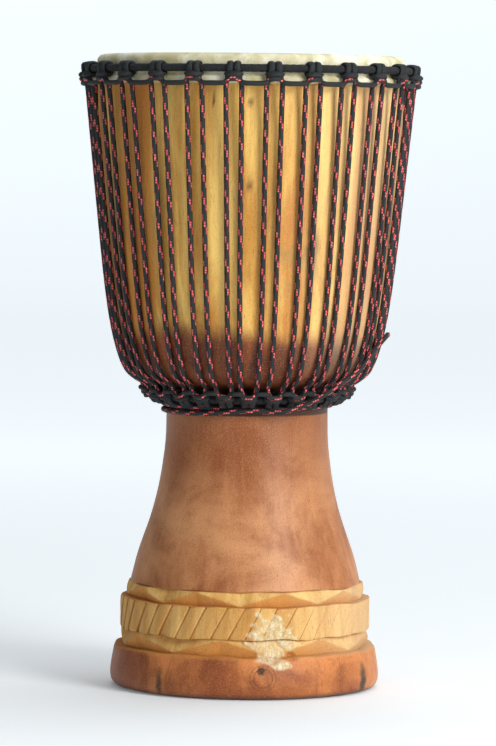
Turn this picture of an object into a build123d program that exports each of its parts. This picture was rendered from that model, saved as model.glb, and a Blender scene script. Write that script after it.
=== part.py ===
from build123d import *
from math import acos, asin, atan2, cos, hypot, pi, radians, sin, tan
import os

# A rope-tuned djembe. Millimetres, +Z up, origin on the floor at the axis, front towards -Y.
# Outlines are drawn as (radius, height). An azimuth is in degrees from the front, positive to +X.

# ---- shell ----
overall_height = 630.0
rim_radius = 152.5
rim_straight = 39.0
rim_wall = 14.0
bearing_round = 5.0
bearing_inner_round = 3.0
shoulder_radius = 125.0
shoulder_height = 334.0
shoulder_round = 34.0
underside_height = 298.0
underside_rise = 23.0
underside_round = 10.0
waist_radius = 81.0
waist_height = 250.0
flare_radius = 115.0
flare_height = 104.0
flare_lip = 3.5
throat_radius = 52.0
throat_height = 270.0
throat_round = 20.0
foot_bore_radius = 106.0
foot_radius = 134.5
foot_rest_radius = 127.0
foot_height = 41.0
foot_bulge_height = 9.0
foot_top_radius = 131.0
foot_round = 6.0
foot_edge_round = 2.0

# ---- carving round the foot ----
lower_recess_depth = 8.0
band_bottom = 58.0
band_top = 90.0
band_radius = 125.0
upper_recess_depth = 6.0
zigzag_count = 9
upper_facet_radius = 109.5
lower_facet_radius = 117.5
facet_reach = 14.0
upper_facet_start = -3.0
lower_facet_start = 8.0
cut_count = 42
cut_depth = 1.6
cut_width = 1.4
cut_lean = 28.0
cut_overrun = 2.0

# ---- head ----
skin_thickness = 0.9
skin_gap = 0.05
flesh_ring_diameter = 5.5
ring_diameter = 6.0
binding_diameter = 7.6
binding_gap = 0.05
crown_height = 615.3
head_gap = 0.4
bottom_ring_height = 291.3
bottom_ring_offset = 11.5

# ---- cords ----
hitch_count = 26
roping_turn = 1.0
loop_cord_diameter = 4.6
wrap_gap = 0.05
strand_offset = 3.4
leg_offset = 6.2
leg_depth = 9.0
bight_depth = 4.5
bight_round = 3.3
leg_round = 3.5
cradle_depth = 15.3
crown_cradle_gap = 0.4
bottom_cradle_gap = 1.5
bottom_pull = 45.0
rope_diameter = 5.2
rope_gap = 0.3
rope_spread = 2.7
turn_drop = 0.9
turn_gap = 0.35
turn_round = 6.5

# ---- rope's spare length ----
winding_gap = 0.1
lower_turn_drop = 1.2
lower_turn_sweep = 205.0
tail_azimuth = -60.0
tail_first_run = 20.0
tail_gap = 0.6

rope_radius = rope_diameter / 2
cord_radius = loop_cord_diameter / 2
wrap_radius = binding_diameter / 2 + wrap_gap + cord_radius
half_pitch = 180 / hitch_count
shell_height = overall_height - skin_thickness - skin_gap
rim_start = shell_height - rim_straight


def at(azimuth, radius, height):
    a = radians(azimuth)
    return Vector(radius * sin(a), -radius * cos(a), height)


def meet(p, p_way, q, q_way):
    """Where the line through p along p_way crosses the line through q along q_way."""
    turn = p_way[0] * q_way[1] - p_way[1] * q_way[0]
    along = ((q[0] - p[0]) * q_way[1] - (q[1] - p[1]) * q_way[0]) / turn
    return (p[0] + along * p_way[0], p[1] + along * p_way[1])


# The bowl's side is one arc, upright where it meets the rim and leaning in by side_lean at the
# shoulder. Everything that lies on the bowl is drawn from the same arc and the same underside line.
side_drop = rim_start - shoulder_height
side_inset = rim_radius - shoulder_radius
side_radius = (side_drop**2 + side_inset**2) / (2 * side_inset)
side_centre = (rim_radius - side_radius, rim_start)
side_lean = asin(side_drop / side_radius)
side_way = (sin(side_lean), cos(side_lean))
rise = radians(underside_rise)
underside_way = (cos(rise), sin(rise))


def side_corners(offset):
    """Corners of the bowl's outline moved outwards by offset: under the shoulder, and at the rim."""
    reach = side_radius + offset
    shoulder = (
        side_centre[0] + reach * cos(side_lean),
        side_centre[1] - reach * sin(side_lean),
    )
    base = (waist_radius + offset * sin(rise), underside_height - offset * cos(rise))
    under = meet(shoulder, side_way, base, underside_way)
    rim = meet(shoulder, side_way, (rim_radius + offset, 0), (0, 1))
    return under, rim


# ---- shell: one hollow turned block of wood, carved round the foot ----
under_corner, rim_corner = side_corners(0)
inner_under, inner_rim = side_corners(-rim_wall)
throat_corner = meet(inner_under, underside_way, (throat_radius, 0), (0, 1))
# The shoulder is as round as the room between the side's arc and the underside lets it be.
shoulder_room = hypot(shoulder_radius - under_corner[0], shoulder_height - under_corner[1])
shoulder_turn = acos(side_way[0] * underside_way[0] + side_way[1] * underside_way[1])
shoulder_bend = min(shoulder_round, 0.95 * shoulder_room / tan(shoulder_turn / 2))

with BuildPart() as shell:
    with BuildSketch(Plane.XZ):
        with BuildLine():
            FilletPolyline(
                (foot_bore_radius, 0),
                (foot_rest_radius, 0),
                (foot_radius, foot_bulge_height),
                (foot_top_radius, foot_height),
                (foot_top_radius - lower_recess_depth, foot_height),
                radius=[foot_round, foot_round, foot_edge_round],
            )
            Polyline(
                (foot_top_radius - lower_recess_depth, foot_height),
                (foot_top_radius - lower_recess_depth, band_bottom),
                (band_radius, band_bottom),
                (band_radius, band_top),
                (band_radius - upper_recess_depth, band_top),
                (flare_radius - flare_lip, flare_height),
                (flare_radius, flare_height),
            )
            Spline(
                (flare_radius, flare_height),
                (flare_radius - 11.5, flare_height + 42),
                (flare_radius - 24, flare_height + 82),
                (waist_radius + 3.5, waist_height - 24),
                (waist_radius, waist_height),
                tangents=[(-0.2, 1), (0, 1)],
            )
            FilletPolyline(
                (waist_radius, waist_height),
                (waist_radius, underside_height),
                under_corner,
                rim_corner,
                (rim_radius, shell_height),
                (rim_radius - rim_wall, shell_height),
                inner_rim,
                inner_under,
                throat_corner,
                (throat_radius, throat_height),
                radius=[
                    underside_round,
                    shoulder_bend,
                    side_radius,
                    bearing_round,
                    bearing_inner_round,
                    side_radius - rim_wall,
                    shoulder_bend - rim_wall,
                    throat_round,
                ],
            )
            Spline(
                (throat_radius, throat_height),
                (throat_radius + 15, throat_height - 82),
                (foot_bore_radius - 16, flare_height),
                (foot_bore_radius, 0),
                tangents=[(0, -1), (0.05, -1)],
            )
        make_face()
    revolve(axis=Axis.Z)
    # Flat knife facets in both recesses, in a zigzag of triangles.
    pitch = 360 / zigzag_count
    for k in range(zigzag_count):
        for foot, tip, flat, start in (
            (flare_height, band_top, upper_facet_radius, upper_facet_start),
            (band_bottom, foot_height, lower_facet_radius, lower_facet_start),
        ):
            azimuth = start + pitch * k
            facet = Plane(
                origin=at(azimuth, flat, 0), x_dir=at(azimuth + 90, 1, 0), z_dir=at(azimuth, 1, 0)
            )
            half_width = flat * tan(radians(pitch / 2))
            with BuildSketch(facet):
                with BuildLine():
                    Polyline((-half_width, foot), (half_width, foot), (0, tip), close=True)
                make_face()
            extrude(amount=facet_reach, mode=Mode.SUBTRACT)
    # Slanted saw cuts across the raised band between them.
    with Locations((0, 0, (band_bottom + band_top) / 2)):
        with PolarLocations(band_radius, cut_count):
            Box(
                2 * cut_depth,
                cut_width,
                (band_top - band_bottom + 2 * cut_overrun) / cos(radians(cut_lean)),
                rotation=(-cut_lean, 0, 0),
                mode=Mode.SUBTRACT,
            )

# ---- skin: stretched over the rim, its edge folded round the flesh ring ----
skin_inside = rim_radius + skin_gap
skin_outside = skin_inside + skin_thickness
flesh_bore = flesh_ring_diameter / 2 + skin_gap
flesh_fold = flesh_bore + skin_thickness
flesh_radius = skin_inside + flesh_fold
flesh_height = crown_height - bight_depth - cord_radius - head_gap - flesh_fold

with BuildPart() as skin:
    with BuildSketch(Plane.XZ):
        with BuildLine():
            FilletPolyline(
                (0, overall_height),
                (skin_outside, overall_height),
                (skin_outside, flesh_height),
                radius=[bearing_round + skin_gap + skin_thickness],
            )
            Line((skin_outside, flesh_height), (skin_inside, flesh_height))
            FilletPolyline(
                (skin_inside, flesh_height),
                (skin_inside, overall_height - skin_thickness),
                (0, overall_height - skin_thickness),
                radius=[bearing_round + skin_gap],
            )
            Line((0, overall_height - skin_thickness), (0, overall_height))
        make_face()
        with Locations((flesh_radius, flesh_height)):
            Circle(flesh_fold)
            Circle(flesh_bore, mode=Mode.SUBTRACT)
    revolve(axis=Axis.Z)


def ring(radius, height, diameter, bore=0.0):
    """A round bar bent into a ring, or with a bore the sleeve wound over one."""
    with BuildPart() as made:
        with BuildSketch(Plane.XZ):
            with Locations((radius, height)):
                Circle(diameter / 2)
                if bore:
                    Circle(bore / 2, mode=Mode.SUBTRACT)
        revolve(axis=Axis.Z)
    return made.part


crown_radius = skin_outside + head_gap + cord_radius + wrap_radius
bottom_radius = waist_radius + bottom_ring_offset
binding_bore = ring_diameter + 2 * binding_gap
rings = {
    "flesh_ring": ring(flesh_radius, flesh_height, flesh_ring_diameter),
    "crown_ring": ring(crown_radius, crown_height, ring_diameter),
    "crown_ring_binding": ring(crown_radius, crown_height, binding_diameter, binding_bore),
    "bottom_ring": ring(bottom_radius, bottom_ring_height, ring_diameter),
    "bottom_ring_binding": ring(
        bottom_radius, bottom_ring_height, binding_diameter, binding_bore
    ),
}

# ---- cords ----
# A place beside a ring is (depth, offset): depth along the pull of the lacing, offset outwards
# across it. The lacing pulls the crown ring straight down and the bottom ring up and outwards.
# The lacing's turns pass under the hitches and beside the skin's fold, inside the cradles.
turn_depth = leg_depth + rope_radius + turn_drop
turn_offset = flesh_radius + flesh_fold + turn_gap + rope_radius - crown_radius
turn_reach = turn_offset + rope_radius + cord_radius


def beside(ring_radius, ring_height, pull, side):
    p = radians(pull)

    def place(depth, offset):
        return (
            ring_radius + depth * cos(p) - side * offset * sin(p),
            ring_height + depth * sin(p) + side * offset * cos(p),
        )

    return place


by_crown = beside(crown_radius, crown_height, -90, 1)
by_bottom = beside(bottom_radius, bottom_ring_height, bottom_pull, -1)


def half_angle(before, here, after):
    return radians((here - before).get_angle(after - here)) / 2


def fitted(points, radii):
    """The radii, less wherever two neighbouring arcs would need more than the run between them."""
    corners = list(zip(points, points[1:], points[2:]))
    arms = [0.0] + [r * tan(half_angle(*c)) for r, c in zip(radii, corners)] + [0.0]
    for i, run in enumerate(b - a for a, b in zip(points, points[1:])):
        share = min(1.0, 0.99 * run.length / max(arms[i] + arms[i + 1], 0.001))
        arms[i] *= share
        arms[i + 1] *= share
    return [arm / tan(half_angle(*c)) for arm, c in zip(arms[1:-1], corners)]


def tube(points, radii, section_radius):
    with BuildPart() as made:
        with BuildLine() as route:
            FilletPolyline(*points, radius=fitted(points, radii))
        with BuildSketch(Plane(route.line @ 0, z_dir=route.line % 0)):
            Circle(section_radius)
        sweep()
    length = route.wire().length
    share = made.part.volume / (length * pi * section_radius**2)
    print(f"tube {length:.1f} mm, volume share {share:.4f}, radii {[round(r, 1) for r in radii]}")
    return made.part


def all_round(unit, azimuth):
    with BuildPart() as made:
        with PolarLocations(0, hitch_count, start_angle=azimuth):
            add(unit)
    return made.part


def loop_cord(place, cradle_gap):
    """One repeat of the cord on a ring: half a cradle, a hitch of two strands, half a cradle."""
    cradle_radius, cradle_height = place(cradle_depth, turn_reach + cradle_gap)
    h = radians(half_pitch)
    run = (cradle_radius * sin(h) - leg_offset) / cos(h)
    leg_radius, leg_height = place(leg_depth, wrap_radius)
    front_radius, front_height = place(-wrap_radius, wrap_radius)
    back_radius, back_height = place(-wrap_radius, -wrap_radius)
    bight_radius, bight_height = place(bight_depth, -wrap_radius)
    half = [
        at(-half_pitch, cradle_radius, cradle_height),
        at(-half_pitch, cradle_radius, cradle_height) + Vector(run * cos(h), -run * sin(h), 0),
        Vector(-strand_offset, -leg_radius, leg_height),
        Vector(-strand_offset, -front_radius, front_height),
        Vector(-strand_offset, -back_radius, back_height),
        Vector(-strand_offset, -bight_radius, bight_height),
    ]
    other = [Vector(-p.X, p.Y, p.Z) for p in reversed(half)]
    wrap_round = wrap_radius - wrap_gap
    radii = [leg_round, leg_round, wrap_round, wrap_round, bight_round]
    return tube(half + other, radii + radii[::-1], cord_radius)


crown_unit = loop_cord(by_crown, crown_cradle_gap)
bottom_unit = loop_cord(by_bottom, bottom_cradle_gap)
crown_loop_cord = all_round(crown_unit, roping_turn + half_pitch)
bottom_loop_cord = all_round(bottom_unit, roping_turn)


# ---- lacing: over a crown hitch, down the bowl, round a bottom hitch and up again ----
rope_offset = rope_radius + rope_gap
rope_reach = side_radius + rope_offset
top_turn = by_crown(turn_depth, turn_offset)
bottom_turn = by_bottom(turn_depth, turn_offset)
from_centre = (top_turn[0] - side_centre[0], top_turn[1] - side_centre[1])
touch = atan2(from_centre[1], from_centre[0]) - acos(rope_reach / hypot(*from_centre))
touch_point = (
    side_centre[0] + rope_reach * cos(touch),
    side_centre[1] + rope_reach * sin(touch),
)
rope_under, _ = side_corners(rope_offset)
rope_side = meet(touch_point, (-sin(touch), cos(touch)), rope_under, side_way)
leg = half_pitch - rope_spread
half_turn = top_turn[0] * cos(radians(rope_spread))
lacing_half = [
    at(-half_pitch, half_turn, top_turn[1]),
    at(-leg, *top_turn),
    at(-leg, *rope_side),
    at(-leg, *rope_under),
    at(-leg, *bottom_turn),
]
lacing_other = [Vector(-p.X, p.Y, p.Z) for p in reversed(lacing_half)]
lacing_radii = [turn_round, rope_reach, shoulder_bend + rope_offset, turn_round]
lacing_unit = tube(lacing_half + lacing_other, lacing_radii + lacing_radii[::-1], rope_radius)
lacing_rope = all_round(lacing_unit, roping_turn)

# ---- spare rope: round the waist, and a tail that crosses in front of the lacing ----
winding_radius = waist_radius + winding_gap + rope_radius
winding_top = bottom_ring_height - (wrap_radius - wrap_gap) - rope_radius
lower_turn = winding_top - lower_turn_drop * rope_diameter

with BuildPart() as waist_winding:
    with BuildSketch(Plane.XZ):
        with Locations((winding_radius, winding_top)):
            Circle(rope_radius)
    revolve(axis=Axis.Z)
    with BuildLine():
        lower_arc = CenterArc(
            (0, 0, lower_turn), winding_radius, tail_azimuth - 90, -lower_turn_sweep
        )
    with BuildSketch(Plane(lower_arc @ 0, z_dir=lower_arc % 0)):
        Circle(rope_radius)
    sweep(path=lower_arc)

# The tail leaves the lower turn and climbs over the upper one. Each point of this part is
# (azimuth, outwards, upwards) from the middle of the upper turn, in rope diameters.
tail_exit = at(tail_azimuth, winding_radius, lower_turn)
tail_way = at(tail_azimuth + 90, 1, 0)
tail_over = [
    at(azimuth, winding_radius + out * rope_diameter, winding_top + up * rope_diameter)
    for azimuth, out, up in (
        (-32.0, 0.20, -1.18),
        (-17.7, 0.84, -0.86),
        (-4.5, 1.10, -0.46),
        (5.0, 1.06, -0.42),
        (15.0, 1.50, -0.58),
    )
]
# Then it clears the bottom ring's hitches, its cradles and the lacing on its way up the bowl: it
# lies tail_lift outside their middles. Each point is (azimuth, outwards from the bottom ring,
# share of the way from there to the lacing under the shoulder, upwards from the ring).
tail_lift = turn_reach + bottom_cradle_gap + cord_radius + rope_radius + tail_gap
tail_aside = tail_lift * sin(radians(bottom_pull))
tail_reach = rope_under[0] - bottom_radius
tail_up = [
    at(
        azimuth,
        bottom_radius + out + share * tail_reach + tail_aside,
        bottom_ring_height + up - tail_aside,
    )
    for azimuth, out, share, up in (
        (21.0, -2.4, 0.0, -2.6),
        (28.7, 2.1, 0.0, 2.3),
        (33.5, 6.8, 0.0, 5.9),
        (40.7, 7.2, 0.3, 15.0),
        (48.0, 4.2, 0.65, 27.2),
        (56.0, 3.3, 0.9, 37.8),
        (62.0, 3.7, 1.0, 50.1),
        (67.5, 9.2, 1.0, 65.1),
        (76.0, 12.7, 1.0, 74.1),
    )
]
tail_points = [tail_exit, tail_exit + tail_way * tail_first_run] + tail_over + tail_up


def largest_radii(points):
    """For each corner, 0.45 of its shorter run over the tangent of half its turn."""
    return [
        0.45 * min((b - a).length, (c - b).length) / tan(half_angle(a, b, c))
        for a, b, c in zip(points, points[1:], points[2:])
    ]


rope_tail = tube(tail_points, largest_radii(tail_points), rope_radius)

nodes = {
    "shell": shell.part,
    "skin": skin.part,
    **rings,
    "crown_loop_cord": crown_loop_cord,
    "bottom_loop_cord": bottom_loop_cord,
    "lacing_rope": lacing_rope,
    "waist_winding": waist_winding.part,
    "rope_tail": rope_tail,
}
os.makedirs("parts", exist_ok=True)
for name, piece in nodes.items():
    piece.label = name
    export_step(piece, f"parts/{name}.step")
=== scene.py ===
import math

import bpy
import numpy as np
from mathutils import Matrix, Vector


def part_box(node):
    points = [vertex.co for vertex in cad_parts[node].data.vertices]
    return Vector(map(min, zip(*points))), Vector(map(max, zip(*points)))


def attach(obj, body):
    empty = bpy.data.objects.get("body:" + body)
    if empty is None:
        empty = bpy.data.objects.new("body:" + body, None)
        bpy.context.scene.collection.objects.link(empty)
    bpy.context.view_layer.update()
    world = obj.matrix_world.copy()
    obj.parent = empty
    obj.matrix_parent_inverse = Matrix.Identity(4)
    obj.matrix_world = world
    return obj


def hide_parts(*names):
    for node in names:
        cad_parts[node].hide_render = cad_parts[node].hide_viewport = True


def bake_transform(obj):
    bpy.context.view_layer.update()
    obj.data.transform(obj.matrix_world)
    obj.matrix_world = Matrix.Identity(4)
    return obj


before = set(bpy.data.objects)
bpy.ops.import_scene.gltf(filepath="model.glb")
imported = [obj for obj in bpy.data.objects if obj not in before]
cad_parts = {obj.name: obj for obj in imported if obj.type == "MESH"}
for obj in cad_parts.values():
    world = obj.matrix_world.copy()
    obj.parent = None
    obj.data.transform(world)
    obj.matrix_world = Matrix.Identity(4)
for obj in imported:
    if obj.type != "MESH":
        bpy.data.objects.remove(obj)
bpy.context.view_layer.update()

# A rope-tuned djembe. Metres, +Z up, front towards -Y. An azimuth is in degrees from the front,
# positive to +X. Outlines are (radius, height) in millimetres.
MM = 0.001
HITCHES = 26
PITCH = 360 / HITCHES
ROPING_TURN = 1.0
ROPE_RADIUS = 2.6
CORD_RADIUS = 2.45


def middle_of(node):
    """Radius and height, in millimetres, of the bar of a ring-shaped CAD node."""
    low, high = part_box(node)
    bar = (high.z - low.z) / 2
    return (high.x - bar) / MM, (high.z + low.z) / 2 / MM


CROWN_RADIUS, CROWN_HEIGHT = middle_of("crown_ring_binding")
BOTTOM_RADIUS, BOTTOM_HEIGHT = middle_of("bottom_ring_binding")
FLESH_RADIUS, FLESH_HEIGHT = middle_of("flesh_ring")
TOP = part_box("skin")[1].z / MM


# ---------------------------------------------------------------- geometry helpers
def at(azimuth, radius, height):
    """A point, or an array of points, in metres."""
    a = np.radians(azimuth)
    x, y, z = np.broadcast_arrays(radius * np.sin(a), -radius * np.cos(a), height)
    return np.stack([x, y, z], axis=-1) * MM


def routed(points, closed=False, steps=8):
    """Points along the smooth NURBS line that a route's points control."""
    curve = bpy.data.curves.new("route", "CURVE")
    curve.dimensions = "3D"
    spline = curve.splines.new("NURBS")
    spline.points.add(len(points) - 1)
    for control, place in zip(spline.points, points):
        control.co = (*place, 1.0)
    spline.use_cyclic_u = closed
    spline.order_u = 3
    spline.use_endpoint_u = not closed
    spline.resolution_u = steps
    holder = bpy.data.objects.new("route", curve)
    mesh = bpy.data.meshes.new_from_object(holder)
    found = np.array([v.co for v in mesh.vertices])
    bpy.data.meshes.remove(mesh)
    bpy.data.objects.remove(holder)
    bpy.data.curves.remove(curve)
    return found


def ripple(azimuth, height, seed, waves=14, turns=9, length=120.0):
    """A smooth random field, about -1 to 1, over azimuth (degrees) and height (millimetres)."""
    rng = np.random.default_rng(seed)
    a, z = np.broadcast_arrays(np.radians(azimuth), np.asarray(height, float))
    total = np.zeros(a.shape)
    for _ in range(waves):
        across = rng.integers(0, turns + 1)
        up = rng.uniform(-1, 1) * 2 * math.pi / length
        total += np.sin(across * a + up * z + rng.uniform(0, 2 * math.pi))
    return total / math.sqrt(waves / 2) / 1.6


def new_mesh(name, points, faces, uv=None, sharp=math.radians(35)):
    """A mesh object from points, and faces given as rows; uv has a row for each corner."""
    mesh = bpy.data.meshes.new(name)
    mesh.from_pydata(points.tolist(), [], faces if isinstance(faces, list) else faces.tolist())
    if uv is not None:
        layer = mesh.uv_layers.new(name="UVMap")
        layer.data.foreach_set("uv", uv.astype(np.float32).ravel())
    mesh.shade_smooth()
    if sharp:
        mesh.set_sharp_from_angle(angle=sharp)
    obj = bpy.data.objects.new(name, mesh)
    bpy.context.scene.collection.objects.link(obj)
    return obj


def quads(rows, columns, closed_rows=False, start=0):
    """Faces of a grid of points whose columns close on themselves."""
    i = np.arange(rows if closed_rows else rows - 1)[:, None]
    j = np.arange(columns)[None, :]
    here = i * columns + j
    right = i * columns + (j + 1) % columns
    up = (i + 1) % rows * columns + j
    up_right = (i + 1) % rows * columns + (j + 1) % columns
    return np.stack([here, right, up_right, up], axis=-1).reshape(-1, 4) + start


def frames_along(path, closed):
    """Two directions across a path at each point, carried along it without twisting."""
    step = np.roll(path, -1, 0) - np.roll(path, 1, 0)
    if not closed:
        step[0], step[-1] = path[1] - path[0], path[-1] - path[-2]
    ahead = step / np.linalg.norm(step, axis=1)[:, None]
    side = np.zeros_like(path)
    first = np.cross(ahead[0], (0, 0, 1))
    if np.linalg.norm(first) < 0.1:
        first = np.cross(ahead[0], (1, 0, 0))
    side[0] = first / np.linalg.norm(first)
    for k in range(1, len(path)):
        s = side[k - 1] - ahead[k] * (side[k - 1] @ ahead[k])
        side[k] = s / np.linalg.norm(s)
    other = np.cross(ahead, side)
    if closed:
        last = side[-1] - ahead[0] * (side[-1] @ ahead[0])
        twist = math.atan2(last @ other[0], last @ side[0])
        turn = -twist * np.arange(len(path)) / len(path)
        c, s = np.cos(turn)[:, None], np.sin(turn)[:, None]
        side, other = side * c + other * s, other * c - side * s
    return side, other


def tube(name, path, radius, sides=12, closed=False, relief=None, cap=0.0):
    """A tube along a path in metres. Its UV is (share of a turn round it, metres along it).
    relief(around, along) gives the surface's rise in metres, and cap rounds the far end."""
    side, other = frames_along(path, closed)
    gaps = np.linalg.norm(np.diff(path, axis=0), axis=1)
    along = np.concatenate([[0], np.cumsum(gaps)])
    around = np.arange(sides) / sides
    r = np.full((len(path), sides), radius)
    if relief is not None:
        r = r + relief(around[None, :], along[:, None])
    if cap:
        left = np.clip((along[-1] - along) / cap, 0, 1)
        r = r * np.sqrt(1 - (1 - left) ** 2 * 0.999)[:, None]
    angle = 2 * math.pi * around
    ring = side[:, None, :] * np.cos(angle)[None, :, None]
    ring = ring + other[:, None, :] * np.sin(angle)[None, :, None]
    points = (path[:, None, :] + ring * r[:, :, None]).reshape(-1, 3)
    faces = quads(len(path), sides, closed)
    rows = len(path) if closed else len(path) - 1
    end = along[-1] + np.linalg.norm(path[0] - path[-1])
    v = np.append(along, end)
    i = np.repeat(np.arange(rows), sides)
    j = np.tile(np.arange(sides), rows)
    corners = [(j, i), (j + 1, i), (j + 1, i + 1), (j, i + 1)]
    uv = np.stack([np.stack([a / sides, v[b]], -1) for a, b in corners], 1).reshape(-1, 2)
    faces = faces.tolist()
    if not closed:
        last = (len(path) - 1) * sides
        faces += [list(range(sides))[::-1], list(range(last, last + sides))]
        ends = [(k / sides, 0.0) for k in range(sides)][::-1]
        ends += [(k / sides, along[-1]) for k in range(sides)]
        uv = np.vstack([uv, ends])
    return new_mesh(name, points, faces, uv, sharp=None)


# ---------------------------------------------------------------- material helpers
def linear(r, g, b):
    """A display colour, 0 to 255, as the shader's linear one."""
    return tuple(((c / 255 + 0.055) / 1.055) ** 2.4 if c > 10 else c / 3294 for c in (r, g, b))


class Shader:
    """A small wrapper that makes a node tree by calls, each of which returns an output socket."""

    def __init__(self, name):
        self.material = bpy.data.materials.new(name)
        self.material.use_nodes = True
        self.tree = self.material.node_tree
        self.surface = self.tree.nodes["Principled BSDF"]

    def node(self, kind, inputs=None, **settings):
        made = self.tree.nodes.new(kind)
        for key, value in settings.items():
            setattr(made, key, value)
        for key, value in (inputs or {}).items():
            self.put(made.inputs[key], value)
        return made

    def put(self, socket, value):
        if isinstance(value, bpy.types.NodeSocket):
            self.tree.links.new(value, socket)
        elif isinstance(value, tuple) and len(value) == 3 and socket.type == "RGBA":
            socket.default_value = (*value, 1)
        else:
            socket.default_value = value

    def math(self, operation, a, b=0.0, c=0.0):
        made = self.node("ShaderNodeMath", {0: a, 1: b}, operation=operation)
        if operation == "MULTIPLY_ADD":
            self.put(made.inputs[2], c)
        return made.outputs[0]

    def noise(self, vector, scale, detail=4.0, roughness=0.55, distortion=0.0):
        inputs = {
            "Vector": vector,
            "Scale": scale,
            "Detail": detail,
            "Roughness": roughness,
            "Distortion": distortion,
        }
        return self.node("ShaderNodeTexNoise", inputs).outputs["Fac"]

    def stretched(self, vector, x, y, z):
        return self.node("ShaderNodeMapping", {"Vector": vector, "Scale": (x, y, z)}).outputs[0]

    def between(self, value, low, high, to_low=0.0, to_high=1.0):
        inputs = {0: value, 1: low, 2: high, 3: to_low, 4: to_high}
        made = self.node("ShaderNodeMapRange", inputs, interpolation_type="SMOOTHSTEP")
        return made.outputs[0]

    def mix(self, share, a, b):
        made = self.node("ShaderNodeMix", data_type="RGBA", blend_type="MIX")
        self.put(made.inputs[0], share)
        self.put(made.inputs[6], a)
        self.put(made.inputs[7], b)
        return made.outputs[2]

    def attribute(self, name):
        return self.node("ShaderNodeAttribute", attribute_name=name).outputs["Fac"]

    def bump(self, height, strength, distance):
        inputs = {"Height": height, "Strength": strength, "Distance": distance}
        return self.node("ShaderNodeBump", inputs).outputs[0]

    def finish(self, **sockets):
        names = {"color": "Base Color", "roughness": "Roughness", "normal": "Normal"}
        for key, value in sockets.items():
            self.put(self.surface.inputs[names.get(key, key)], value)
        return self.material


def place_in_space(s):
    return s.node("ShaderNodeTexCoord").outputs["Object"]


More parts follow.
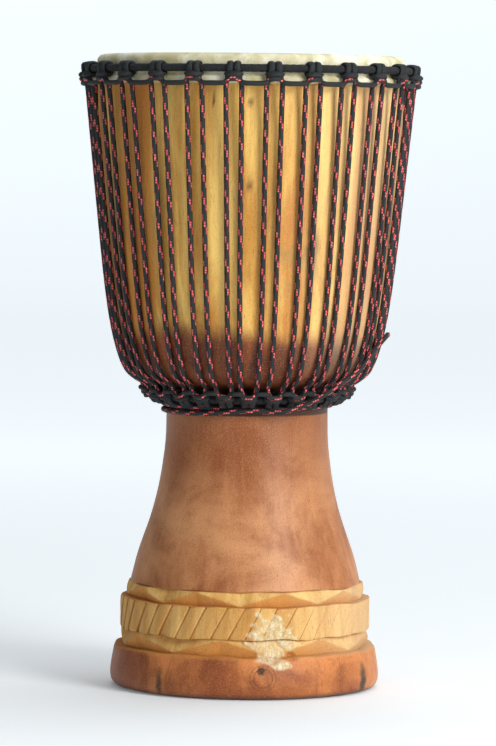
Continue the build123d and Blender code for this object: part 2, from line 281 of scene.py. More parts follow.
# ---------------------------------------------------------------- materials
def wood_material():
    s = Shader("carved_wood")
    place = place_in_space(s)
    height = s.node("ShaderNodeSeparateXYZ", {0: place}).outputs["Z"]
    long_grain = s.noise(s.stretched(place, 60, 60, 2.5), 1.0, 5, 0.6, 0.4)
    broad = s.noise(s.stretched(place, 14, 14, 1.6), 1.0, 3, 0.5, 0.6)
    fine = s.noise(s.stretched(place, 420, 420, 14), 1.0, 3, 0.6)
    pores = s.noise(s.stretched(place, 900, 900, 60), 1.0, 2, 0.5)
    clouds = s.noise(place, 11.0, 4, 0.6, 0.5)
    wavy = s.math("MULTIPLY_ADD", s.noise(place, 9.0, 3, 0.6), 0.05, -0.025)
    level = s.math("ADD", height, wavy)

    gold = s.mix(s.between(long_grain, 0.32, 0.7), linear(194, 136, 54), linear(246, 204, 112))
    gold = s.mix(s.between(broad, 0.46, 0.62, 0, 0.7), gold, linear(186, 108, 34))
    green = s.noise(s.stretched(place, 16, 16, 5), 1.0, 4, 0.65, 1.2)
    gold = s.mix(s.between(green, 0.54, 0.68, 0, 0.45), gold, linear(150, 128, 70))
    red = s.mix(s.between(long_grain, 0.3, 0.72), linear(88, 38, 16), linear(150, 78, 34))
    red = s.mix(s.between(height, 0.30, 0.37), s.mix(0.55, red, linear(72, 32, 18)), red)
    bowl = s.mix(s.between(level, 0.346, 0.372), red, gold)
    smoke = s.mix(s.attribute("smoke"), bowl, linear(86, 72, 54))
    bowl = s.mix(s.attribute("slit"), smoke, linear(62, 34, 20))

    stem = s.mix(s.between(clouds, 0.34, 0.68), linear(146, 82, 42), linear(204, 144, 98))
    stem = s.mix(s.between(long_grain, 0.4, 0.75, 0, 0.5), stem, linear(210, 144, 92))
    stem = s.mix(s.between(height, 0.17, 0.275), stem, s.mix(0.68, stem, linear(126, 64, 28)))
    foot = s.mix(s.between(clouds, 0.34, 0.68), linear(142, 74, 36), linear(214, 134, 74))
    foot = s.mix(s.attribute("stain"), foot, linear(42, 42, 34))
    foot = s.mix(s.between(height, 0.0, 0.007, 0.75, 0.0), foot, linear(44, 28, 20))
    streak = s.noise(s.stretched(place, 26, 26, 9), 1.0, 5, 0.65, 1.4)
    foot = s.mix(s.between(streak, 0.52, 0.68, 0, 0.38), foot, linear(104, 52, 24))
    raw = s.mix(s.between(long_grain, 0.3, 0.72), linear(200, 146, 74), linear(232, 190, 116))
    # Painted shade: the carved facets that face down (tri 0) get a darker, more orange copy of the
    # fresh wood; the upward ones (tri 1) keep it.
    raw = s.mix(s.attribute("tri"), s.mix(0.8, raw, linear(206, 136, 64)), raw)
    raw = s.mix(s.between(broad, 0.46, 0.64, 0, 0.6), raw, linear(186, 124, 56))
    # Painted shade: darker fresh wood in the band's V cuts, along the edges of the recesses and
    # under the stem's overhanging edge.
    raw = s.mix(s.attribute("groove"), raw, linear(122, 72, 34))

    body = s.mix(s.between(height, 0.102, 0.1045), foot, stem)
    body = s.mix(s.between(height, 0.288, 0.296), body, bowl)
    body = s.mix(s.attribute("raw"), body, raw)
    strands = s.noise(s.stretched(place, 190, 190, 70), 1.0, 5, 0.7, 1.0)
    filler_share = s.math("MULTIPLY", s.attribute("damage"),
                          s.between(strands, 0.36, 0.6, 0.3, 0.92))
    filler = s.mix(s.between(s.noise(place, 160, 4, 0.7), 0.35, 0.65),
                   linear(204, 184, 132), linear(238, 230, 200))
    body = s.mix(filler_share, body, filler)
    dark = s.between(fine, 0.56, 0.78, 0.0, 0.34)
    body = s.mix(dark, body, s.mix(0.6, body, linear(60, 34, 18)))
    body = s.mix(s.between(pores, 0.62, 0.74, 0, 0.4), body, linear(72, 40, 22))
    body = s.mix(s.attribute("knot"), body, linear(66, 38, 22))
    # Painted sheen: the bowl and the fresh cuts turn paler towards +X, the side the key lamp
    # lights.
    side = s.node("ShaderNodeSeparateXYZ", {0: place}).outputs["X"]
    painted_sheen_right = s.math("MULTIPLY", s.between(side, 0.02, 0.14, 0, 0.3),
                      s.math("MAXIMUM", s.between(height, 0.288, 0.36), s.attribute("raw")))
    body = s.mix(painted_sheen_right, body, linear(236, 224, 190))
    speckle = s.noise(place, 850, 2, 0.5)
    body = s.mix(s.between(speckle, 0.5, 0.68, 0, 0.16), body, linear(226, 176, 132))
    body = s.mix(s.between(speckle, 0.5, 0.32, 0, 0.16), body, linear(84, 46, 26))
    # Painted shade: the wood behind the rope turns round the waist is darkened, where shade falls
    # between and under them.
    painted_shade_under_rope = s.math("MULTIPLY", s.between(height, 0.2735, 0.2755),
                        s.between(height, 0.306, 0.299))
    body = s.mix(s.math("MULTIPLY", painted_shade_under_rope, 0.85), body, linear(34, 20, 14))
    inner = s.mix(s.between(long_grain, 0.3, 0.7), linear(150, 104, 62), linear(186, 140, 92))
    body = s.mix(s.attribute("inside"), body, inner)

    rough = s.mix(s.between(height, 0.288, 0.296), linear(176, 176, 176), linear(188, 188, 188))
    rough = s.mix(s.attribute("raw"), rough, linear(222, 222, 222))
    grain = s.math("ADD", s.math("MULTIPLY", fine, 0.6), s.math("MULTIPLY", pores, 0.4))
    return s.finish(color=body, roughness=rough, normal=s.bump(grain, 0.25, 0.0006),
                    **{"Specular IOR Level": 0.28})


def skin_material():
    s = Shader("drum_skin")
    place = place_in_space(s)
    blotch = s.noise(place, 26, 5, 0.6, 0.8)
    fibres = s.noise(s.stretched(place, 240, 240, 60), 1.0, 3, 0.6)
    base = s.mix(s.between(blotch, 0.36, 0.66), linear(196, 188, 146), linear(236, 232, 208))
    base = s.mix(s.between(s.noise(place, 12, 4, 0.65, 1.0), 0.5, 0.66, 0, 0.75), base,
                 linear(176, 166, 116))
    base = s.mix(s.between(fibres, 0.55, 0.8, 0, 0.4), base, linear(188, 178, 140))
    return s.finish(color=base, roughness=0.85, normal=s.bump(fibres, 0.25, 0.0006),
                    **{"Specular IOR Level": 0.2})


def cloth_material():
    s = Shader("ring_binding")
    place = s.node("ShaderNodeTexCoord").outputs["UV"]
    u, v = s.node("ShaderNodeSeparateXYZ", {0: place}).outputs[:2]
    thread = s.math("SINE", s.math("ADD", s.math("MULTIPLY", v, 5600.0),
                                   s.math("MULTIPLY", u, 6.2832)))
    weave = s.math("MULTIPLY", thread, s.math("SINE", s.math("MULTIPLY", u, 170.0)))
    shade = s.mix(s.between(s.noise(place_in_space(s), 300, 3), 0.35, 0.7),
                  linear(11, 12, 14), linear(26, 28, 31))
    return s.finish(color=shade, roughness=0.88, normal=s.bump(weave, 0.35, 0.0004))


BRAID_PITCH = 0.0027
FLECK_SPACING = 0.0224
FLECK_SHARE = 0.27


def braid(s, strands, pitch):
    """A plaited cover's height, from a tube's UV, and the UV's two parts."""
    place = s.node("ShaderNodeTexCoord").outputs["UV"]
    u, v = s.node("ShaderNodeSeparateXYZ", {0: place}).outputs[:2]
    across = s.math("MULTIPLY", u, math.pi * strands)
    along = s.math("MULTIPLY", v, math.pi / pitch)
    one = s.math("ABSOLUTE", s.math("SINE", s.math("ADD", across, along)))
    two = s.math("ABSOLUTE", s.math("SINE", s.math("SUBTRACT", across, along)))
    return s.math("SQRT", s.math("MULTIPLY", one, two)), u, v


def cord_material():
    s = Shader("loop_cord")
    plait, _, _ = braid(s, 6, 0.0026)
    # Painted shade: the plait is darker where its strands dip between one another.
    shade = s.mix(plait, linear(6, 8, 9), linear(23, 29, 31))
    return s.finish(color=shade, roughness=0.72, normal=s.bump(plait, 0.5, 0.0006))


def lacing_material():
    s = Shader("lacing")
    plait, u, v = braid(s, 7, BRAID_PITCH)
    columns = 7.0
    column = s.math("FLOOR", s.math("MULTIPLY", u, columns))
    in_column = s.math("FRACT", s.math("MULTIPLY", u, columns))
    turn = s.math("ADD", s.math("DIVIDE", v, FLECK_SPACING),
                  s.math("MULTIPLY", column, 2 / columns))
    lit = s.math("LESS_THAN", s.math("FRACT", turn), FLECK_SHARE)
    inside = s.math("LESS_THAN", s.math("ABSOLUTE", s.math("SUBTRACT", in_column, 0.5)), 0.36)
    dash = s.math("FRACT", s.math("ADD", s.math("DIVIDE", v, BRAID_PITCH),
                                  s.math("MULTIPLY", in_column, 0.5)))
    thread = s.math("LESS_THAN", dash, 0.7)
    fleck = s.math("MULTIPLY", s.math("MULTIPLY", lit, inside), thread)
    red = s.mix(s.between(s.noise(place_in_space(s), 700, 2), 0.4, 0.62),
                linear(222, 56, 66), linear(255, 128, 118))
    # Painted shade: the black plait is darker where its strands dip between one another.
    black = s.mix(plait, linear(5, 7, 8), linear(19, 25, 28))
    shade = s.mix(fleck, black, red)
    return s.finish(color=shade, roughness=0.66, normal=s.bump(plait, 0.5, 0.0006))


def steel_material():
    s = Shader("ring_steel")
    scale = s.noise(place_in_space(s), 90, 4)
    shade = s.mix(scale, linear(96, 92, 88), linear(150, 148, 146))
    return s.finish(color=shade, roughness=0.42, Metallic=0.9)


wood = wood_material()
hide = skin_material()
cloth = cloth_material()
cord = cord_material()
lace = lacing_material()
steel = steel_material()


# ---------------------------------------------------------------- shell
FINE = 1440
COARSE = 480
BAND_BOTTOM = 58
BAND_TOP = 90
BAND_RADIUS = 125
CUTS = 41
CUT_LEAN = 28
LOWER_APEXES = (-58, -11, 36, 77, 117, 155, 191, 228, 266)
UPPER_APEXES = (-24, 19.5, 55, 96, 137, 177, 218, 259, 299)


def smooth_line(points, step):
    """Points about a step apart along a smooth line through an outline's points."""
    p = np.array(points, float)
    ends = np.vstack([2 * p[0] - p[1], p, 2 * p[-1] - p[-2]])
    made = []
    for a, b, c, d in zip(ends, ends[1:], ends[2:], ends[3:]):
        count = max(1, round(np.linalg.norm(c - b) / step))
        t = (np.arange(count) / count)[:, None]
        made.append(0.5 * (2 * b + (c - a) * t + (2 * a - 5 * b + 4 * c - d) * t**2
                           + (3 * b - a - 3 * c + d) * t**3))
    return np.vstack(made + [p[-1:]])


def zigzag(azimuth, apexes):
    """How far up a recess the ridge between its facets runs, from 0 to 1."""
    tips = np.sort(np.mod(apexes, 360))
    valleys = (tips + np.append(tips[1:], tips[0] + 360)) / 2
    x = np.concatenate([tips, valleys])
    y = np.concatenate([np.full(len(tips), 0.97), np.full(len(tips), 0.05)])
    return np.interp(np.mod(azimuth, 360), *zip(*sorted(zip(np.mod(x, 360), y))), period=360)


def patch(azimuth, height, centre, half_size):
    """1 at a place on the shell, falling to 0 at half_size (degrees, millimetres) from it."""
    a = (np.mod(azimuth - centre[0] + 180, 360) - 180) / half_size[0]
    z = (height - centre[1]) / half_size[1]
    return np.clip(1.6 * (1 - np.sqrt(a**2 + z**2)), 0, 1)


def foot_rows():
    """Rows of (radii, heights, marks) from the foot's lower edge up to the stem's lower edge."""
    a = np.arange(FINE) * 360 / FINE
    edge = 0.45 * (1 + ripple(a, 0, 1, turns=16))
    lip = 0.9 * ripple(a, 0, 2, turns=22)
    under = BAND_BOTTOM + 0.9 * ripple(a, 0, 3, turns=18)
    over = BAND_TOP + 0.8 * ripple(a, 0, 4, turns=18)
    stem = 104 + 0.7 * ripple(a, 0, 5, turns=12)
    rows = []

    def row(radius, height, **marks):
        rows.append((radius + 0 * a, height + 0 * a, marks))

    row(107.2, 0.3)
    row(124.0, 0.0)
    for radius, height in smooth_line([(126.2, 0.3), (130.6, 1.6), (133.4, 5.6), (134.5, 12),
                                       (134.0, 20), (132.6, 29), (131.0, 38)], 1.6):
        row(radius + 0.25 * ripple(a, height, 6), height + np.clip(edge * (1 - height / 8), 0, 2))
    row(130.2, 40.6 + lip, raw=0.35)
    row(128.6, 41.4 + lip, raw=1.0, groove=0.25)
    lower = zigzag(a, LOWER_APEXES)
    upper = zigzag(a, UPPER_APEXES)

    def recess(bottom, top, ridge, line, count):
        for s in np.linspace(0, 1, count):
            above = s > ridge
            radius = line - np.where(above, (s - ridge) * 8, (ridge - s) * 6)
            z = bottom + s * (top - bottom)
            near = np.clip(1 - np.abs(s - ridge) * 9, 0, 1)
            radius = radius + 0.18 * ripple(a, z, 7, length=12) - 0.2 * near
            row(radius, z, raw=1.0, tri=above.astype(float),
                groove=0.15 * near + (0.35 if s in (0.0, 1.0) else 0.0))

    recess(41.8 + lip, under, lower, 124.0, 18)
    row(124.4, under + 0.3, raw=1.0)
    rng = np.random.default_rng(11)
    edges = np.cumsum(rng.uniform(0.82, 1.18, CUTS))
    edges = edges / edges[-1] * 360
    depth = rng.uniform(1.6, 2.5, CUTS)
    lean = np.tan(np.radians(rng.uniform(23, 33, CUTS)))
    for s in np.linspace(0.02, 0.98, 32):
        z = under + s * (over - under)
        slide = np.degrees((z - under) * np.tan(np.radians(CUT_LEAN)) / BAND_RADIUS)
        turned = np.mod(a - slide, 360)
        k = np.searchsorted(edges, turned) % CUTS
        start = np.where(k > 0, edges[k - 1], edges[-1] - 360)
        width = np.where(k > 0, edges[k] - edges[k - 1], edges[0] + 360 - edges[-1])
        u = (turned - start) / width + (lean[k] - 0.53) * (s - 0.5) * 0.4
        rise = np.clip(u / 0.62, 0, 1) ** 0.8 * np.clip((1 - u) / 0.07, 0, 1)
        deep = depth[k] * (1 - rise)
        # Painted shade along the V cut at each block's edge.
        groove = np.clip(1.15 - np.minimum(np.abs(u), np.abs(1 - u)) / 0.055, 0, 1)
        soft = 0.6 * np.clip(1 - min(s, 1 - s) / 0.06, 0, 1)
        row(BAND_RADIUS - deep - soft + 0.15 * ripple(a, z, 8, length=14), z, raw=1.0, tri=0.85,
            groove=0.9 * groove)
    row(124.2, over - 0.2, raw=1.0)
    recess(over, stem, upper, 119.0, 16)
    row(114.4, stem + 0.1, raw=0.9, groove=0.4)
    row(115.0, stem + 1.2)
    return a, rows


def build_shell():
    """The foot's carved rows, then the stem, the bowl and the bore, as one closed surface."""
    a, rows = foot_rows()
    names = ("raw", "tri", "groove", "damage", "stain", "knot", "slit", "smoke", "inside")
    grid, marks = [], {n: [] for n in names}

    def put(azimuth, radius, height, given):
        lump = patch(azimuth, height, (12.5, 57.0), (15.0, 36.0))
        noise = ripple(azimuth, height, 21, waves=26, turns=60, length=9)
        if given.get("inside"):
            lump = lump * 0
        damage = np.clip((lump + 0.35 * noise - 0.42) * 4, 0, 1) * (lump > 0)
        hole = patch(azimuth, height, (12.0, 40.5), (4.2, 4.5))
        hole = np.maximum(hole, patch(azimuth, height, (21.5, 42.5), (3.0, 4.0)))
        if not given.get("inside"):
            radius = radius + damage * 0.5 * (noise - 0.4) - 3.0 * hole
            radius = radius + damage * np.clip(123.4 - radius, 0, 2.5) * (height < BAND_BOTTOM)
        grid.append(at(azimuth, radius, height))
        found = dict(given, damage=damage)
        if not given.get("inside"):
            ring = patch(azimuth, height, (8.0, 22.0), (7.5, 17.0))
            found["knot"] = (0.75 * patch(azimuth, height, (0.0, 582.0), (1.4, 7.0))
                             + 0.75 * patch(azimuth, height, (0.0, 503.0), (1.6, 7.5))
                             + patch(azimuth, height, (7.2, 29.0), (2.2, 6.0))
                             + 0.6 * np.minimum(ring * 1.6, 1) * np.clip(np.sin(ring * 19), 0, 1)
                             * (ring < 0.98))
            found["slit"] = patch(azimuth, height, (-13.5, 585.0), (0.55, 7.0))
            smoke = patch(azimuth, height, (25.6, 436.0), (3.4, 52.0))
            found["smoke"] = 0.7 * np.clip(smoke + 0.25 * noise * (smoke > 0), 0, 1)
            left = patch(azimuth, height, (-38.6, 12.0), (2.0, 20.0))
            right = patch(azimuth, height, (61.6, 12.0), (3.4, 22.0))
            found["stain"] = np.clip(0.8 * left + right + 0.2 * noise * (left + right > 0), 0, 1)
        for name in names:
            marks[name].append(np.broadcast_to(found.get(name, 0.0), azimuth.shape))

    for radius, height, given in rows:
        put(a, radius, height, given)
    b = np.arange(COARSE) * 360 / COARSE
    outside = smooth_line([(114.4, 107.5), (112.4, 116), (108.8, 130), (103.5, 146), (96.5, 166),
                           (91, 186), (86.8, 206), (83.8, 226), (81.6, 246), (81, 268), (81, 288),
                           (83, 296), (88, 301), (98, 304.8), (108, 309.5), (116, 316),
                           (121, 325), (125, 334), (132, 358), (139.2, 406), (146.6, 486),
                           (151.2, 550), (152.3, 595), (152.5, 612), (152.2, 620), (150.6, 625.6),
                           (147.6, 628.6)], 7.0)
    inside = smooth_line([(144.0, 628.9), (140.6, 628.2), (138.8, 625.5), (138.5, 615),
                          (138.4, 590), (137.3, 555), (133.2, 486), (125.5, 406), (118.0, 358),
                          (111.0, 333), (104.0, 325), (94.0, 319), (78.0, 312), (64.0, 303),
                          (55.0, 288), (52.0, 270), (54.5, 235), (60, 205), (67, 185), (78, 146),
                          (90, 104), (98, 60), (103.5, 25), (105.8, 4)], 14.0)
    for radius, height in outside:
        # The adze leaves the stem and the bowl a little out of round.
        slack = np.clip((612 - height) / 60, 0, 1) * np.clip((height - 100) / 20, 0, 1)
        put(b, radius + 0.35 * slack * (ripple(b, height, 9, length=160) - 0.6), height, {})
    for radius, height in inside:
        put(b, radius + 0 * b, height, {"inside": 1.0})
    points = np.vstack(grid)
    fine, coarse = len(rows), len(outside) + len(inside)
    first = fine * FINE
    faces = [quads(fine, FINE), quads(coarse, COARSE, start=first)]
    lists = np.vstack(faces).tolist()

    def stitch(fine_start, coarse_start, turned):
        for j in range(COARSE):
            f = [fine_start + (3 * j + k) % FINE for k in range(4)]
            c, d = coarse_start + j, coarse_start + (j + 1) % COARSE
            for face in ([f[0], f[1], c], [f[1], f[2], d, c], [f[2], f[3], d]):
                lists.append(face[::-1] if turned else face)

    stitch((fine - 1) * FINE, first, False)
    stitch(0, first + (coarse - 1) * COARSE, True)
    obj = new_mesh("carved_shell", points, lists, sharp=math.radians(38))
    for name in names:
        layer = obj.data.attributes.new(name, "FLOAT", "POINT")
        layer.data.foreach_set("value", np.concatenate(marks[name]).astype(np.float32))
    return obj


shell = build_shell()
shell.data.materials.append(wood)
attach(shell, "shell")
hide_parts("shell")


# ---------------------------------------------------------------- skin
def build_skin():
    """The skin over the bearing edge and down the side, with its edge folded round a ring."""
    b = np.arange(COARSE) * 360 / COARSE
    away = np.cos(np.radians((b - ROPING_TURN) * HITCHES))
    grid = []
    top = smooth_line([(2.0, TOP - 0.15), (60, TOP - 0.15), (120, TOP - 0.1), (146.0, TOP - 0.05),
                       (150.4, TOP - 1.5), (152.9, TOP - 4.4), (153.45, TOP - 9),
                       (153.45, TOP - 15.5)], 4.0)
    for radius, height in top:
        pucker = np.clip((radius - 140) / 10, 0, 1) * 0.22 * ripple(b, height, 31, turns=70)
        grid.append(at(b, radius + np.minimum(pucker, 0.25), height))
    for turn in np.linspace(100, -150, 18):
        c, s = math.cos(math.radians(turn)), math.sin(math.radians(turn))
        bulge = 3.68 + 1.3 * np.clip(away, 0, 1) * max(0.0, c) + 0.1 * ripple(b, turn, 32, turns=40)
        grid.append(at(b, FLESH_RADIUS + bulge * c, FLESH_HEIGHT + bulge * s))
    for radius, height in smooth_line([(152.62, FLESH_HEIGHT - 1.0), (152.6, TOP - 12),
                                       (152.3, TOP - 8), (150.4, TOP - 3.4), (147.6, TOP - 1.1),
                                       (120, TOP - 1.05), (60, TOP - 1.05), (2, TOP - 1.05)], 6.0):
        grid.append(at(b, radius + 0 * b, height))
    points = np.vstack(grid)
    faces = quads(len(grid), COARSE).tolist()
    faces.append(list(range(COARSE)))
    last = (len(grid) - 1) * COARSE
    faces.append(list(range(last, last + COARSE))[::-1])
    return new_mesh("stretched_skin", points, [f[::-1] for f in faces], sharp=math.radians(60))


skin = build_skin()
skin.data.materials.append(hide)
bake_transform(skin)
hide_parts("skin")


# ---------------------------------------------------------------- rings and their bindings
def bound_ring(name, radius, height, seed, body, node):
    """A ring wound with a strip of cloth whose edge makes a low step at each turn."""
    count = int(2 * math.pi * radius)
    azimuth = np.arange(count) * 360 / count
    path = at(azimuth, radius, height + 0 * azimuth)
    turns = round(2 * math.pi * radius / 7)
    length = 2 * math.pi * radius * MM

    def relief(around, along):
        slant = np.mod(along / length * turns + around * 1.0, 1)
        lap = 0.00028 * slant - 0.00016 - 0.00025 * (slant < 0.06)
        return lap + 0.00006 * np.sin(along * 4000 + seed + 6.283 * around * 3)

    made = tube(name, path, 0.0038, sides=20, closed=True, relief=relief)
    made.data.materials.append(cloth)
    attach(made, body)
    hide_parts(node)


bound_ring("crown_binding", CROWN_RADIUS, CROWN_HEIGHT, 1, "head", "crown_ring_binding")
bound_ring("bottom_binding", BOTTOM_RADIUS, BOTTOM_HEIGHT, 2, "shell", "bottom_ring_binding")
for node in ("flesh_ring", "crown_ring", "bottom_ring"):
    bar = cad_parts[node].data
    bar.materials.clear()
    bar.materials.append(steel)

# ---------------------------------------------------------------- cords
# A hitch's place is (t, depth, offset): t along the ring, depth along the pull of the lacing and
# offset outwards across it.
shift = np.random.default_rng(5)
CROWN_SHIFT = shift.uniform(-0.3, 0.3, HITCHES)
BOTTOM_SHIFT = shift.uniform(-0.35, 0.35, HITCHES)


def by_crown(k, t, depth, offset):
    radius = CROWN_RADIUS + offset
    azimuth = ROPING_TURN + (k - 0.5) * PITCH + CROWN_SHIFT[k % HITCHES]
    return at(azimuth + math.degrees(t / radius), radius, CROWN_HEIGHT - depth)


def by_bottom(k, t, depth, offset):
    half = math.sqrt(0.5)
    radius = BOTTOM_RADIUS + (depth + offset) * half
    azimuth = ROPING_TURN + k * PITCH + BOTTOM_SHIFT[k % HITCHES]
    return at(azimuth + math.degrees(t / radius), radius, BOTTOM_HEIGHT + (depth - offset) * half)


HITCH = [(-9.5, 14.8, 5.4), (-6.0, 12.0, 3.0), (-3.2, 7.5, 4.2), (-2.6, 1.0, 6.3),
         (-2.6, -6.2, 6.2), (-2.6, -6.2, -6.2), (-3.2, 5.5, -6.0), (-4.6, 8.0, -0.5),
         (-5.2, 7.2, 6.0), (-2.0, 6.0, 7.3)]


def tighten(obj, ring_radius, ring_height, first, shifts):
    """Flattens a cord where it is wound on a ring, and spreads its strands until they touch."""
    co = np.array([v.co for v in obj.data.vertices], float) / MM
    radius = np.hypot(co[:, 0], co[:, 1])
    azimuth = np.degrees(np.arctan2(co[:, 0], -co[:, 1]))
    k = np.round((azimuth - first) / PITCH).astype(int)
    middle = first + k * PITCH + shifts[np.mod(k, HITCHES)]
    out, up = radius - ring_radius, co[:, 2] - ring_height
    away = np.hypot(out, up)
    near = np.clip((11.5 - away) / 3, 0, 1)
    near = near * near * (3 - 2 * near)
    scale = 1 + near * ((3.7 + (away - 3.7) * 0.66) / away - 1)
    azimuth = middle + (azimuth - middle) * (1 + 0.32 * near)
    moved = at(azimuth, ring_radius + out * scale, ring_height + up * scale)
    obj.data.vertices.foreach_set("co", moved.astype(np.float32).ravel())
    obj.data.update()


def hitched_cord(name, place, seed, cradle, body, node):
    """A cord tied in a cow hitch at each place round a ring, with a cradle between hitches."""
    rng = np.random.default_rng(seed)
    points = []
    for k in range(HITCHES):
        here = [place(k, t, d, o + rng.uniform(-0.15, 0.15)) for t, d, o in HITCH]
        here += [place(k, -t, d, o + rng.uniform(-0.15, 0.15)) for t, d, o in HITCH[::-1]]
        following = [place(k + 1, t, d, o) for t, d, o in HITCH[:1]]
        points += here + [(here[-1] + following[0]) / 2 + cradle(here[-1], following[0])]
    made = tube(name, routed(points, closed=True, steps=5), CORD_RADIUS * MM, 12, closed=True)
    if place is by_crown:
        tighten(made, CROWN_RADIUS, CROWN_HEIGHT, ROPING_TURN - PITCH / 2, CROWN_SHIFT)
    else:
        tighten(made, BOTTOM_RADIUS, BOTTOM_HEIGHT, ROPING_TURN, BOTTOM_SHIFT)
    made.data.materials.append(cord)
    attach(made, body)
    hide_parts(node)


def outwards(one, other):
    """The sag that keeps a cradle round, rather than straight, between two hitches."""
    middle = (one + other) / 2
    out = np.array([middle[0], middle[1], 0.0])
    return out / np.linalg.norm(out) * (np.linalg.norm(other - one) ** 2 / 8 / 0.15)


hitched_cord("crown_loops", by_crown, 41, outwards, "head", "crown_loop_cord")
hitched_cord("bottom_loops", by_bottom, 42, outwards, "shell", "bottom_loop_cord")


LEG_SPREAD = 7.7
LEG_TOP = 598
LEG_LENGTH = 290
BOTTOM_LEG_RADIUS = 104.5


def lacing_route():
    """One loop of rope: down a leg, round a hitch, up the next leg and over the crown's hitch."""
    rng = np.random.default_rng(8)
    turn = [(0.0, 10.4, 6.6), (5.0, 10.6, 6.0), (7.4, 13.2, 2.2), (LEG_SPREAD, 17.0, 0.6)]
    side = [(162.6, LEG_TOP), (146.3, 440), (141.0, 395), (135.5, 360), (128.9, 334),
            (121.5, 315.5), (111.0, 307.3), (105.5, 304.5)]
    points = []

    def run(crown_end, bottom_end):
        """The points of one leg, from its azimuth at the crown to that at the bottom."""
        drift = rng.uniform(-0.3, 0.3)
        made = []
        for i, (radius, height) in enumerate(side):
            share = min(1.0, (LEG_TOP - height) / LEG_LENGTH)
            azimuth = crown_end + (bottom_end - crown_end) * share
            made.append(at(azimuth + (drift if i in (1, 2, 3) else 0.0), radius, height))
        return made

    spread = math.degrees(LEG_SPREAD / side[0][0])
    wide = math.degrees(LEG_SPREAD / BOTTOM_LEG_RADIUS)
    for k in range(HITCHES):
        here = ROPING_TURN + (k - 0.5) * PITCH + CROWN_SHIFT[k]
        there = ROPING_TURN + k * PITCH + BOTTOM_SHIFT[k]
        onward = ROPING_TURN + (k + 0.5) * PITCH + CROWN_SHIFT[(k + 1) % HITCHES]
        points += [by_crown(k, t, d, o) for t, d, o in turn]
        points += run(here + spread, there - wide)
        points += [by_bottom(k, -t, d, o) for t, d, o in turn[::-1]]
        points += [by_bottom(k, t, d, o) for t, d, o in turn[1:]]
        points += run(onward - spread, there + wide)[::-1]
        points += [by_crown(k + 1, -t, d, o) for t, d, o in turn[:0:-1]]
    return points


lacing = tube("lacing", routed(lacing_route(), closed=True, steps=6), ROPE_RADIUS * MM, 14,
              closed=True)
lacing.data.materials.append(lace)
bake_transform(lacing)
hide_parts("lacing_rope")

# ---------------------------------------------------------------- spare rope
WINDING_RADIUS = 83.7
WINDING_START = -597.5
TAIL_AZIMUTH = -60.0
WINDING_TOP = BOTTOM_HEIGHT - 6.1 - ROPE_RADIUS
LOWER_TURN = WINDING_TOP - 1.2 * 2 * ROPE_RADIUS
TAIL_REACH = 30.87
TAIL_ASIDE = 8.839


def winding_path():
    """One level turn, then a drop at the back to the lower turn that the tail leaves."""
    azimuth = np.arange(WINDING_START, TAIL_AZIMUTH + 0.1, 2.5)
    drop = np.clip((azimuth + 245) / 45, 0, 1)
    level = WINDING_TOP - (WINDING_TOP - LOWER_TURN) * drop**2 * (3 - 2 * drop)
    tucked = np.clip((-585 - azimuth) / 12, 0, 1)
    return at(azimuth, WINDING_RADIUS - 1.2 * tucked, level - 0.6 * tucked)


winding = tube("waist_turns", winding_path(), ROPE_RADIUS * MM, 14)
winding.data.materials.append(lace)
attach(winding, "shell")
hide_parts("waist_winding")

# The tail leaves the lower turn along its tangent, passes round the waist under the hitches, and
# rises across the lacing. Its points are (azimuth, out, up), at first in rope diameters from the
# winding, then in millimetres from the bottom ring, with a share of the reach past it.
tail_exit = at(TAIL_AZIMUTH, WINDING_RADIUS, LOWER_TURN)
tail_way = at(TAIL_AZIMUTH + 90.0, 1.0, 0.0) / MM
tail_points = [tail_exit, tail_exit + tail_way * 0.020]
for azimuth, out, up in ((-32.0, 0.20, -1.18), (-17.7, 0.84, -0.86), (-4.5, 1.10, -0.46),
                         (5.0, 1.06, -0.42), (15.0, 1.50, -0.58)):
    reach = WINDING_RADIUS + out * 2 * ROPE_RADIUS
    tail_points.append(at(azimuth, reach, WINDING_TOP + up * 2 * ROPE_RADIUS))
for azimuth, out, share, up in ((21.0, -2.4, 0.0, -2.6), (28.7, 2.1, 0.0, 2.3),
                                (33.5, 6.8, 0.0, 5.9), (40.7, 7.2, 0.3, 15.0),
                                (48.0, 4.2, 0.65, 27.2), (56.0, 3.3, 0.9, 37.8),
                                (62.0, 3.7, 1.0, 50.1), (67.5, 9.2, 1.0, 65.1),
                                (76.0, 12.7, 1.0, 74.1)):
    reach = BOTTOM_RADIUS + out + share * TAIL_REACH + TAIL_ASIDE
    tail_points.append(at(azimuth, reach, BOTTOM_HEIGHT + up - TAIL_ASIDE))
tail_path = routed(tail_points, steps=10)
tail = tube("rope_end", tail_path, ROPE_RADIUS * MM, 14, cap=0.0024)
tail.data.materials.append(lace)
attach(tail, "shell")
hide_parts("rope_tail")

# ---------------------------------------------------------------- studio
world = bpy.data.worlds.new("studio")
bpy.context.scene.world = world
world.use_nodes = True
world.node_tree.nodes["Background"].inputs[0].default_value = (0.90, 0.95, 1.0, 1)
sky = world.node_tree.nodes.new("ShaderNodeMapRange")
across = world.node_tree.nodes.new("ShaderNodeSeparateXYZ")
everywhere = world.node_tree.nodes.new("ShaderNodeTexCoord")
world.node_tree.links.new(everywhere.outputs["Generated"], across.inputs[0])
world.node_tree.links.new(across.outputs["X"], sky.inputs["Value"])
world.node_tree.links.new(sky.outputs[0], world.node_tree.nodes["Background"].inputs[1])
for key, value in (("From Min", -1.0), ("From Max", 1.0), ("To Min", 0.13), ("To Max", 0.66)):
    sky.inputs[key].default_value = value

WALL_GLOW = 0.62
FLOOR_RADIUS = 8.5
WALL_CURVE = 1.5
FLOOR_DROP = 0.0002


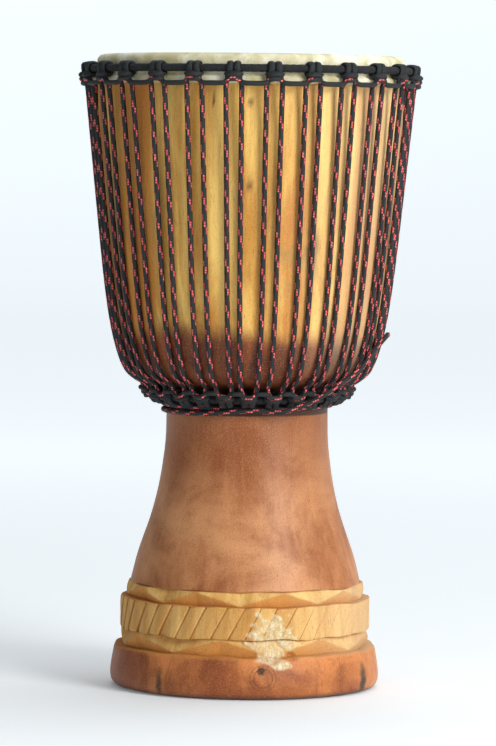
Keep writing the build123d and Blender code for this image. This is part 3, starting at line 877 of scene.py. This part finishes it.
def paper_material():
    """Pale paper that glows a little more away from the middle, where the lamps reach it less."""
    s = Shader("paper")
    apart = s.node("ShaderNodeSeparateXYZ", {0: place_in_space(s)})
    across_squared = s.math("MULTIPLY", apart.outputs["X"], apart.outputs["X"])
    squared = s.math("MULTIPLY_ADD", apart.outputs["Y"], apart.outputs["Y"], across_squared)
    away = s.math("SQRT", squared)
    s.finish(**{"Emission Color": linear(236, 243, 246)})
    s.put(s.surface.inputs["Emission Strength"], s.between(away, 0.3, 3.5, 0.13, WALL_GLOW))
    return s.finish(color=linear(238, 243, 246), roughness=0.9)


def turned(name, line, columns=96):
    """The line of radii and heights turned all the way round the upright axis."""
    angles = np.arange(columns) * 2 * math.pi / columns
    rows = [np.stack([r * np.cos(angles), r * np.sin(angles), np.full(columns, z - FLOOR_DROP)], 1)
            for r, z in line]
    faces = [[i * columns + j, (i + 1) * columns + j, (i + 1) * columns + (j + 1) % columns,
              i * columns + (j + 1) % columns]
             for i in range(len(line) - 1) for j in range(columns)]
    made = new_mesh(name, np.concatenate(rows), faces, sharp=None)
    made.data.materials.append(paper)
    return made


# The wall only closes the view. It neither lights the drum nor shades it.
paper = paper_material()
turned("floor", [(radius, 0) for radius in (0.001, 0.5, 1.0, 2.0, 3.0, 4.0, 6.0, FLOOR_RADIUS)])
bend = [math.radians(angle) for angle in range(0, 91, 5)]
curve = [(FLOOR_RADIUS + WALL_CURVE * math.sin(t), WALL_CURVE * (1 - math.cos(t))) for t in bend]
upright = [(FLOOR_RADIUS + WALL_CURVE, height) for height in (2.0, 3.0, 5.0, 12.0)]
wall = turned("wall", curve + upright)
wall.visible_diffuse = False
wall.visible_glossy = False
wall.visible_transmission = False
wall.visible_shadow = False


def area_light(name, place, target, size, power, colour):
    """A square lamp of that size in metres and power in watts, which the camera doesn't see."""
    lamp = bpy.data.lights.new(name, "AREA")
    lamp.shape = "SQUARE"
    lamp.size = size
    lamp.energy = power
    lamp.color = colour
    holder = bpy.data.objects.new(name, lamp)
    holder.location = place
    way = Vector(target) - Vector(place)
    holder.rotation_mode = "QUATERNION"
    holder.rotation_quaternion = way.to_track_quat("-Z", "Y")
    holder.visible_camera = False
    bpy.context.scene.collection.objects.link(holder)


area_light("key", (2.0, -2.2, 1.5), (0, 0, 0.35), 1.3, 84, (1.0, 0.985, 0.96))
area_light("fill", (-1.6, -2.8, 1.2), (0, 0, 0.35), 1.6, 5, (0.97, 0.98, 1.0))
area_light("top", (0.3, 0.6, 2.4), (0, 0, 0.4), 1.6, 22, (1.0, 1.0, 1.0))

EYE = (0.0, -4.33, 0.549)
LOOKED_AT = (0.0005, 0.0, 0.313)
ROLL = 0.66
camera = bpy.data.cameras.new("camera")
camera.lens = 209.0
camera.sensor_width = 36.0
camera.clip_end = 50.0
eye = bpy.data.objects.new("camera", camera)
bpy.context.scene.collection.objects.link(eye)
bpy.context.scene.camera = eye
place = Vector(EYE)
way = (Vector(LOOKED_AT) - place).to_track_quat("-Z", "Y").to_matrix().to_4x4()
eye.matrix_world = Matrix.Translation(place) @ way @ Matrix.Rotation(math.radians(ROLL), 4, "Z")
bpy.context.scene.view_settings.view_transform = "Standard"
